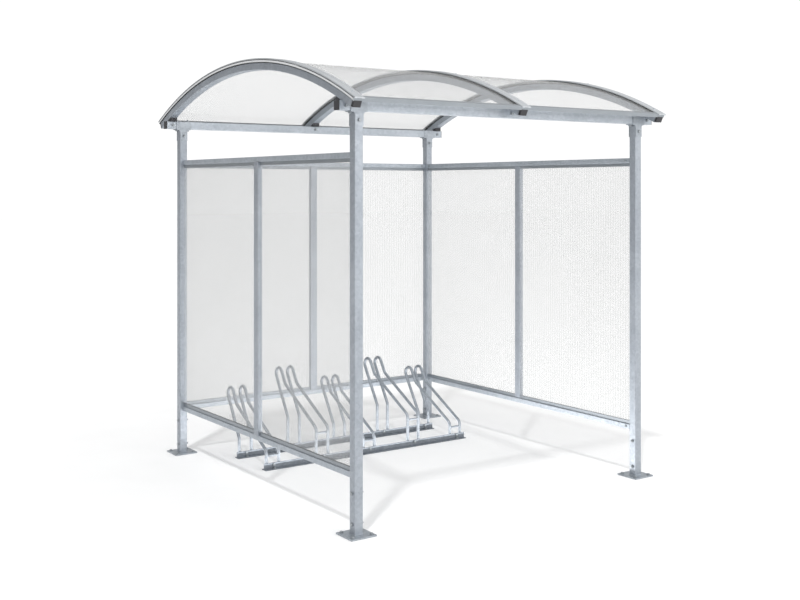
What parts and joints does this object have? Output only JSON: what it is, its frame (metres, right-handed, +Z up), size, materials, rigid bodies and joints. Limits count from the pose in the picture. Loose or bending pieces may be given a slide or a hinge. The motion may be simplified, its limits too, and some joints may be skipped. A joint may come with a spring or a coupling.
{
  "type": "bicycle shelter",
  "caption": "Open-fronted bicycle shelter: galvanised posts and arched ribs under a curved twin-wall roof, three translucent walls and a ground rack.",
  "frame": {"origin": "on the ground, in the middle of the plan", "axes": "+X to the right of someone walking in at the open front, +Y towards the rear wall, +Z up"},
  "size_m": [2.25, 2.4322, 2.4848],
  "materials": {
    "galvanised_steel": "hot-dip galvanised, matt with a faint spangle",
    "aluminium_profile": "mill-finish extrusion",
    "twin_wall_sheet": "clear twin-wall polycarbonate",
    "rubber_seal": "matt",
    "plastic_cap": "moulded black"
  },
  "bodies": {
    "root": {"post_front_left": "galvanised_steel", "post_front_right": "galvanised_steel", "post_rear_left": "galvanised_steel", "post_rear_right": "galvanised_steel", "foot_front_left": "galvanised_steel", "foot_front_right": "galvanised_steel", "foot_rear_left": "galvanised_steel", "foot_rear_right": "galvanised_steel", "head_bracket_front_left": "galvanised_steel", "head_bracket_front_right": "galvanised_steel", "head_bracket_rear_left": "galvanised_steel", "head_bracket_rear_right": "galvanised_steel", "beam_front": "galvanised_steel", "beam_rear": "galvanised_steel", "tube_end_caps": "plastic_cap", "rib_left": "galvanised_steel", "rib_middle": "galvanised_steel", "rib_right": "galvanised_steel", "rib_seals": "rubber_seal", "roof_sheet_left": "twin_wall_sheet", "roof_sheet_right": "twin_wall_sheet", "cover_strip_left": "aluminium_profile", "cover_strip_middle": "aluminium_profile", "cover_strip_right": "aluminium_profile", "eaves_profiles": "aluminium_profile", "wall_rails_left": "galvanised_steel", "wall_rails_right": "galvanised_steel", "wall_rails_rear": "galvanised_steel", "mullion_left": "galvanised_steel", "mullion_right": "galvanised_steel", "mullion_rear": "galvanised_steel", "glazing_channels": "aluminium_profile", "panel_left_front": "twin_wall_sheet", "panel_left_rear": "twin_wall_sheet", "panel_right_front": "twin_wall_sheet", "panel_right_rear": "twin_wall_sheet", "panel_rear_left": "twin_wall_sheet", "panel_rear_right": "twin_wall_sheet", "rack_rail_front": "galvanised_steel", "rack_rail_rear": "galvanised_steel", "rack_place_1": "galvanised_steel", "rack_place_2": "galvanised_steel", "rack_place_3": "galvanised_steel", "rack_place_4": "galvanised_steel", "rack_place_5": "galvanised_steel"}
  },
  "joints": []
}
